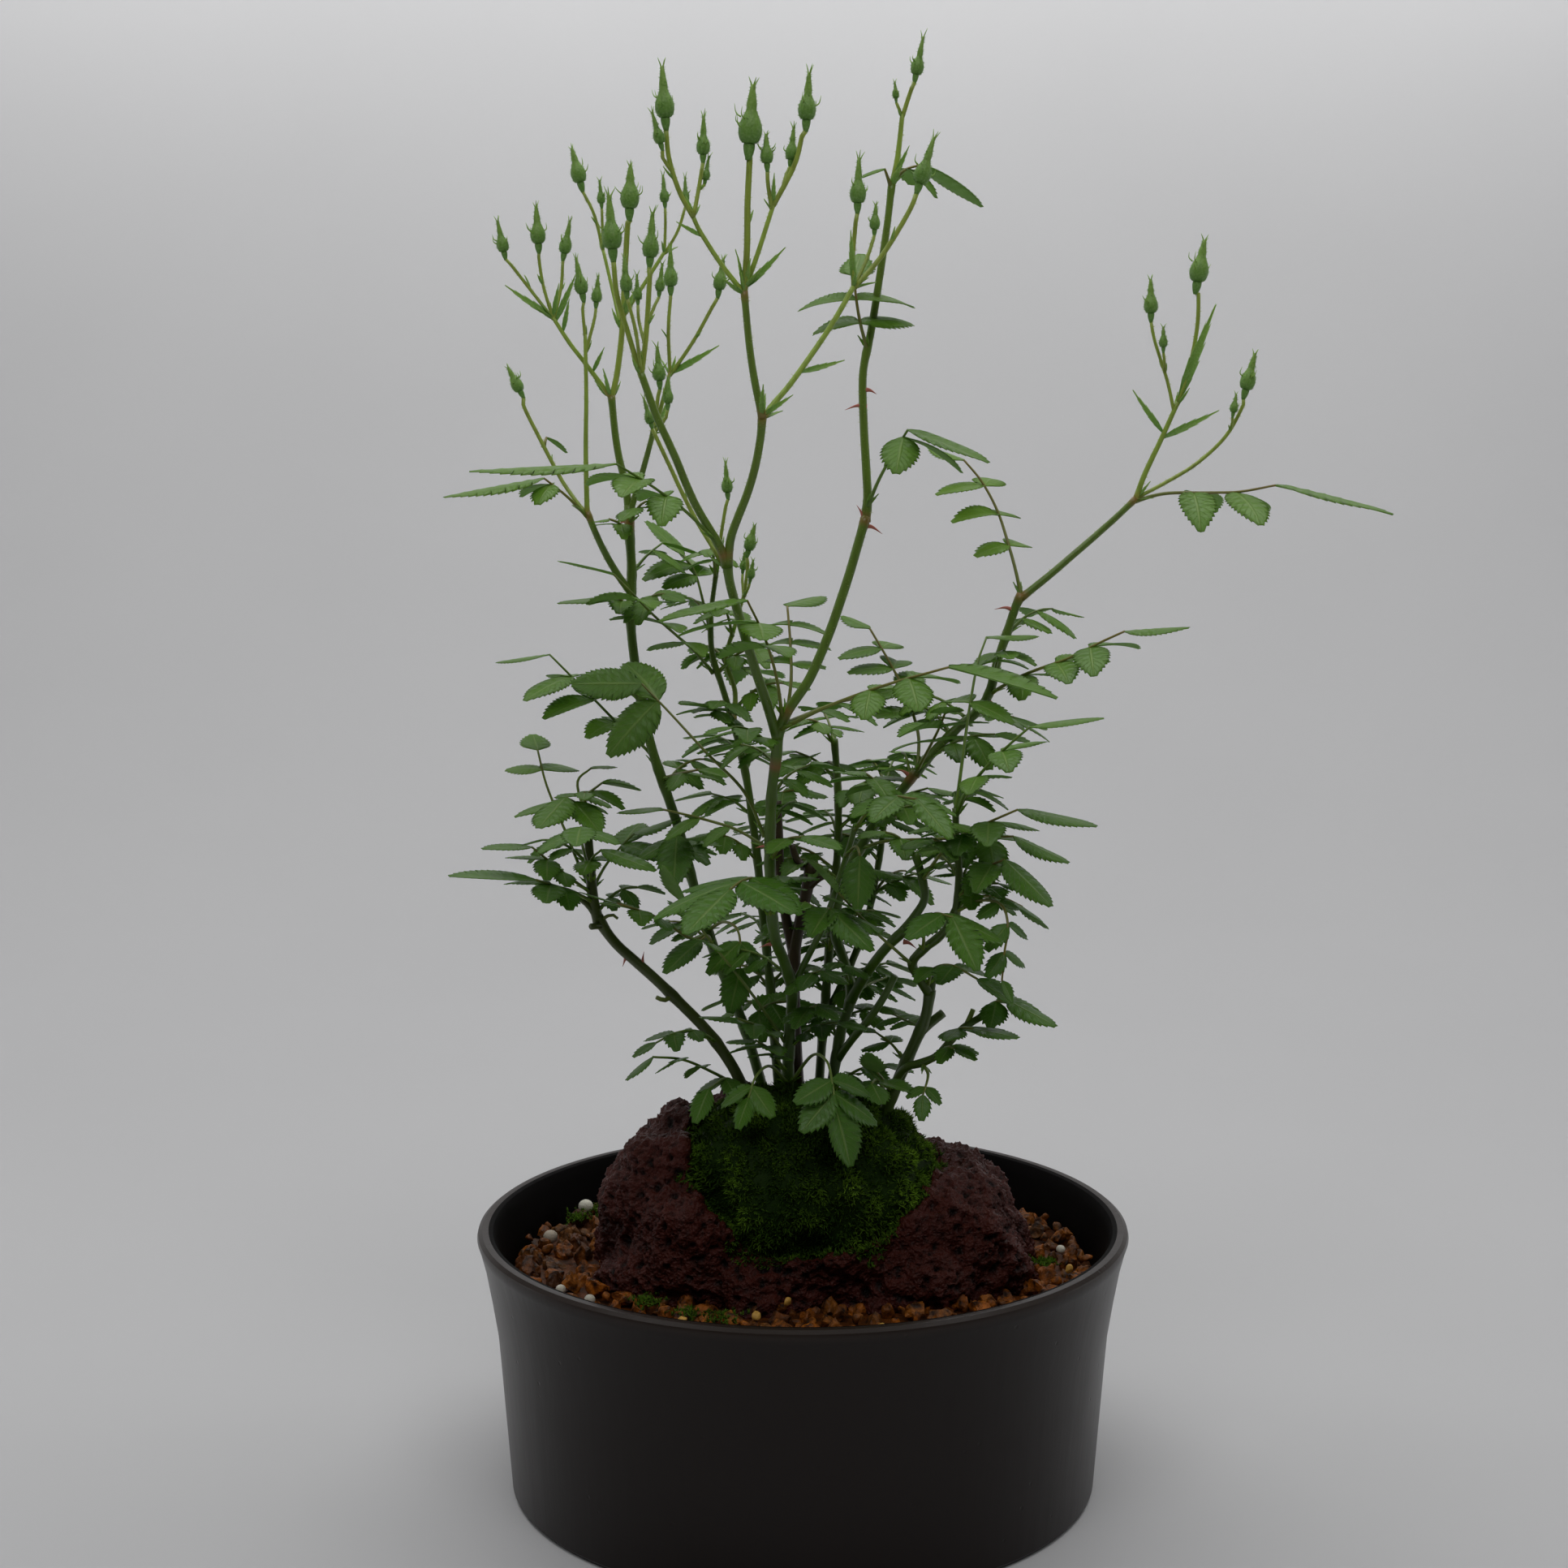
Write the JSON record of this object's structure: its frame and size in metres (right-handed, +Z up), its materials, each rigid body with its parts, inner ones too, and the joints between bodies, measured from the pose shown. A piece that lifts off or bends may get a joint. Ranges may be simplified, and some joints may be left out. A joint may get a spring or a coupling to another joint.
{
  "type": "miniature rose bonsai",
  "caption": "Miniature rose bonsai with flower buds, growing from a mossy root ball on a lava rock in a round dark glazed pot of clay grains.",
  "frame": {"origin": "centre of the pot's flat underside", "axes": "+Z up, +X to the right and +Y away from the viewer, seen from the front of the picture"},
  "size_m": [0.2578, 0.18, 0.3908],
  "materials": {
    "pot_glaze": "satin",
    "net_plastic": "matte",
    "akadama": "matte",
    "lava": "matte",
    "moss": "matte",
    "old_bark": "matte",
    "green_cane": "satin"
  },
  "bodies": {
    "root": {"pot": "pot_glaze", "drain_net_1": "net_plastic", "drain_net_2": "net_plastic", "drain_net_3": "net_plastic", "soil_bed": "akadama", "lava_rock": "lava", "moss_root_ball": "moss", "old_wood": "old_bark", "front_cane": "green_cane", "left_cane": "green_cane", "low_left_cane": "green_cane", "right_cane": "green_cane", "right_front_cane": "green_cane", "back_left_cane": "green_cane", "back_right_cane": "green_cane"}
  },
  "joints": []
}
